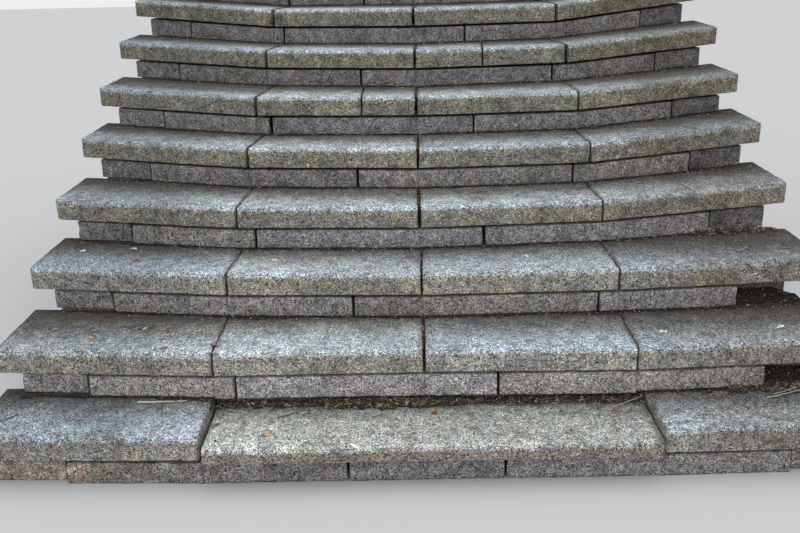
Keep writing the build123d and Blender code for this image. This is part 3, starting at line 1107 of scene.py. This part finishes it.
grit_look = bits_material(
    "grit", (0.0, 0.05, 0.04, 0.03), (0.5, 0.14, 0.12, 0.10),
    (0.8, 0.3, 0.28, 0.25), (1.0, 0.6, 0.58, 0.54),
)
leaf_look = bits_material(
    "leaf_litter", (0.0, 0.045, 0.024, 0.017), (0.45, 0.15, 0.078, 0.052),
    (0.78, 0.30, 0.20, 0.13), (1.0, 0.50, 0.44, 0.29),
)
straw_look = bits_material(
    "straw", (0.0, 0.09, 0.045, 0.03), (0.5, 0.30, 0.17, 0.09), (1.0, 0.58, 0.42, 0.24)
)
spots = [litter_spots(660, 0.020, 0.0005), loose_spots(40, 0.0005), bank_spots(0.5, 0.0)]
scatter("grit", PEBBLE, spots, (0.0016, 0.0045), 0.8, 0.6, grit_look)
spots = [litter_spots(360, 0.024, -0.001), loose_spots(12, -0.001), bank_spots(0.35, 0.002)]
scatter("leaf_litter", LEAF, spots, (0.0025, 0.009), 0.5, 0.6, leaf_look)
spots = [bank_spots(0.045, 0.003, MANY_CRUMBS)]
scatter("stalks", STALK, spots, (0.008, 0.030), 0.05, 0.12, straw_look)
spots = [bank_spots(0.10, 0.002, MANY_CRUMBS)]
scatter("leaf_scraps", LEAF, spots, (0.006, 0.016), 0.35, 0.5, leaf_look)

# Sticks lying on the treads: X, Y and Z of both ends, radius and paleness
STICKS = (
    ((-1.089, 0.282, RISE + 0.004), (-0.948, 0.281, RISE + 0.003), 0.0042, 1.0),
    ((-0.938, 0.284, RISE + 0.003), (-0.905, 0.286, RISE + 0.003), 0.0036, 0.8),
    ((-1.560, 0.150, RISE + 0.001), (-1.513, 0.210, RISE + 0.001), 0.0028, 0.1),
    ((-0.551, 0.205, THIN_TOP + 0.001), (-0.454, 0.258, THIN_TOP + 0.004), 0.0022, 0.05),
    ((0.702, 0.236, THIN_TOP + 0.005), (0.818, 0.262, RISE), 0.0018, 0.6),
    ((1.265, 0.222, RISE + 0.004), (1.407, 0.262, RISE + 0.012), 0.0020, 0.8),
    ((1.299, 0.240, RISE + 0.010), (1.399, 0.276, RISE + 0.016), 0.0018, 0.6),
    ((1.328, 0.830, 3 * RISE + 0.006), (1.388, 0.872, 3 * RISE + 0.008), 0.0020, 0.7),
)
SIDES = 5
STICK_ENDS = ((0, 4, 3), (0, 3, 2), (0, 2, 1), (15, 16, 17), (15, 17, 18), (15, 18, 19))


def stick(start, end, radius):
    """Points and faces of a slightly crooked stick."""
    start, end = np.array(start), np.array(end)
    length = np.linalg.norm(end - start)
    along = (end - start) / length
    side = np.cross(along, (0, 0, 1))
    side /= np.linalg.norm(side)
    above = np.cross(side, along)
    points, faces = [], []
    for ring, t in enumerate((0, 0.3, 0.65, 1)):
        middle = start + t * (end - start) + side * (0.02 * length * sin(5 * t))
        for turn in range(SIDES):
            angle = turn * 2 * pi / SIDES
            out = side * cos(angle) + above * sin(angle)
            points.append(middle + radius * (1 - 0.35 * t) * out)
            if ring:
                a = SIDES * (ring - 1) + turn
                b = SIDES * (ring - 1) + (turn + 1) % SIDES
                faces += [(a, b, b + SIDES), (a, b + SIDES, a + SIDES)]
    return points, faces + list(STICK_ENDS)


points, faces, masks = [], [], []
for start, end, radius, pale in STICKS:
    stick_points, stick_faces = stick(start, end, radius)
    faces += [tuple(i + len(points) for i in face) for face in stick_faces]
    points += stick_points
    masks += [[pale] * 4] * len(stick_points)
mesh = new_mesh("sticks", np.array(points) + (0, PLAN_SHIFT, 0), faces)
paint(mesh, "mask", masks)
twig_look = bits_material("twigs", (0.0, 0.10, 0.085, 0.075), (1.0, 0.66, 0.60, 0.52))
add_piece("sticks", mesh, twig_look)

# Single dead leaves and pale flakes lying on the treads: course, X, Y
LEAVES = (
    (2, -1.00, 0.506), (2, -1.03, 0.560), (2, -1.35, 0.533), (2, -1.48, 0.581), (2, -1.30, 0.481),
    (2, -0.99, 0.365), (2, -0.89, 0.531), (3, -1.21, 0.872), (2, -0.80, 0.389), (2, -1.12, 0.560),
    (1, -0.575, 0.071), (1, -0.770, 0.155), (1, 0.72, 0.215), (1, 0.69, 0.175), (1, 0.03, 0.225),
)
FLAKES = (
    (3, -1.27, 1.035), (3, -1.49, 1.020), (3, -0.62, 0.847),
    (2, 1.385, 0.455), (2, 0.93, 0.44), (3, 0.45, 0.83),
)
AT_A_PLACE = 3
NEARBY = (-0.012, 0.012)


def lying(places, size):
    """Spots of a few bits close to each place, and their sizes."""
    spots, sizes = [], []
    for course, x, y in places:
        z = surface(course, np.array([x]), np.array([y]))[0]
        if course == 1 and on_thin_slab(x):
            z = THIN_TOP
        for _ in range(AT_A_PLACE):
            spots.append((x + draw(*NEARBY), y + draw(*NEARBY), z + 0.002))
            sizes.append(size * draw(0.7, 1.1))
    return [spots], np.array(sizes)


dry_look = bits_material(
    "dead_leaves", (0.0, 0.13, 0.065, 0.045), (0.4, 0.30, 0.17, 0.11),
    (0.8, 0.50, 0.38, 0.22), (1.0, 0.62, 0.56, 0.38),
)
flake_look = bits_material("pale_flakes", (0.0, 0.62, 0.60, 0.57), (1.0, 0.86, 0.85, 0.83))
scatter("dead_leaves", LEAF, *lying(LEAVES, 0.016), 0.4, 0.35, dry_look)
scatter("pale_flakes", PEBBLE, *lying(FLAKES, 0.012), 0.3, 0.2, flake_look)

# Floor, light and camera
FLOOR = 30
floor_corners = [(x, y, 0) for x, y in upright(-FLOOR, FLOOR, -FLOOR, FLOOR)]
floor_mesh = new_mesh("floor", floor_corners, [(0, 1, 2, 3)])
floor = add_object("floor", floor_mesh)
floor_mesh.materials.append(Shader("floor").finish((0.62, 0.61, 0.60, 1), 0.9))

world = bpy.data.worlds.new("studio")
bpy.context.scene.world = world
world.use_nodes = True
nodes = Nodes(world.node_tree)
lit = nodes.tree.nodes["Background"]
nodes.fill(lit, {"Color": (0.86, 0.92, 1.0, 1), "Strength": 0.62})
seen = nodes.output("Background", "Background", {"Color": (0.86, 0.86, 0.85, 1)})
to_camera = nodes.output("LightPath", "Is Camera Ray", {})
inputs = {"Fac": to_camera, 1: lit.outputs["Background"], 2: seen}
choice = nodes.output("MixShader", "Shader", inputs)
nodes.fill(nodes.tree.nodes["World Output"], {"Surface": choice})


def soft_sun(name, toward, power, angle, colour):
    """A distant soft lamp that shines from the given direction."""
    lamp = bpy.data.lights.new(name, "SUN")
    lamp.energy = power
    lamp.angle = radians(angle)
    lamp.color = colour
    turn = Vector(toward).normalized().to_track_quat("Z", "Y").to_euler()
    add_object(name, lamp).rotation_euler = turn


soft_sun("overhead", (0.1, 0.25, 1.0), 1.15, 70, (1.0, 0.99, 0.97))
soft_sun("front", (-0.35, -1.0, 0.55), 0.75, 80, (1.0, 0.97, 0.93))

SENSOR_WIDTH = 36
PICTURE_WIDTH = 800
FOCAL_PIXELS = 926.9
CAMERA_TURN = (-0.587, 18.97, -1.344)  # yaw, pitch and roll in degrees
CAMERA_AT = (-0.0498, PLAN_SHIFT - 2.8735, 1.7967)
camera_data = bpy.data.cameras.new("camera")
camera = add_object("camera", camera_data)
bpy.context.scene.camera = camera
camera_data.sensor_width = SENSOR_WIDTH
camera_data.lens = SENSOR_WIDTH * FOCAL_PIXELS / PICTURE_WIDTH
yaw, pitch, roll = (radians(angle) for angle in CAMERA_TURN)
level = cos(pitch)
forward = np.array([sin(yaw) * level, cos(yaw) * level, -sin(pitch)])
right = np.array([cos(yaw), -sin(yaw), 0])
up = np.cross(right, forward)
tilted_right = cos(roll) * right + sin(roll) * up
tilted_up = -sin(roll) * right + cos(roll) * up
axes = (tilted_right, tilted_up, -forward, CAMERA_AT)
camera.matrix_world = Matrix([*zip(*axes), (0, 0, 0, 1)])

bpy.context.scene.view_settings.view_transform = "Standard"
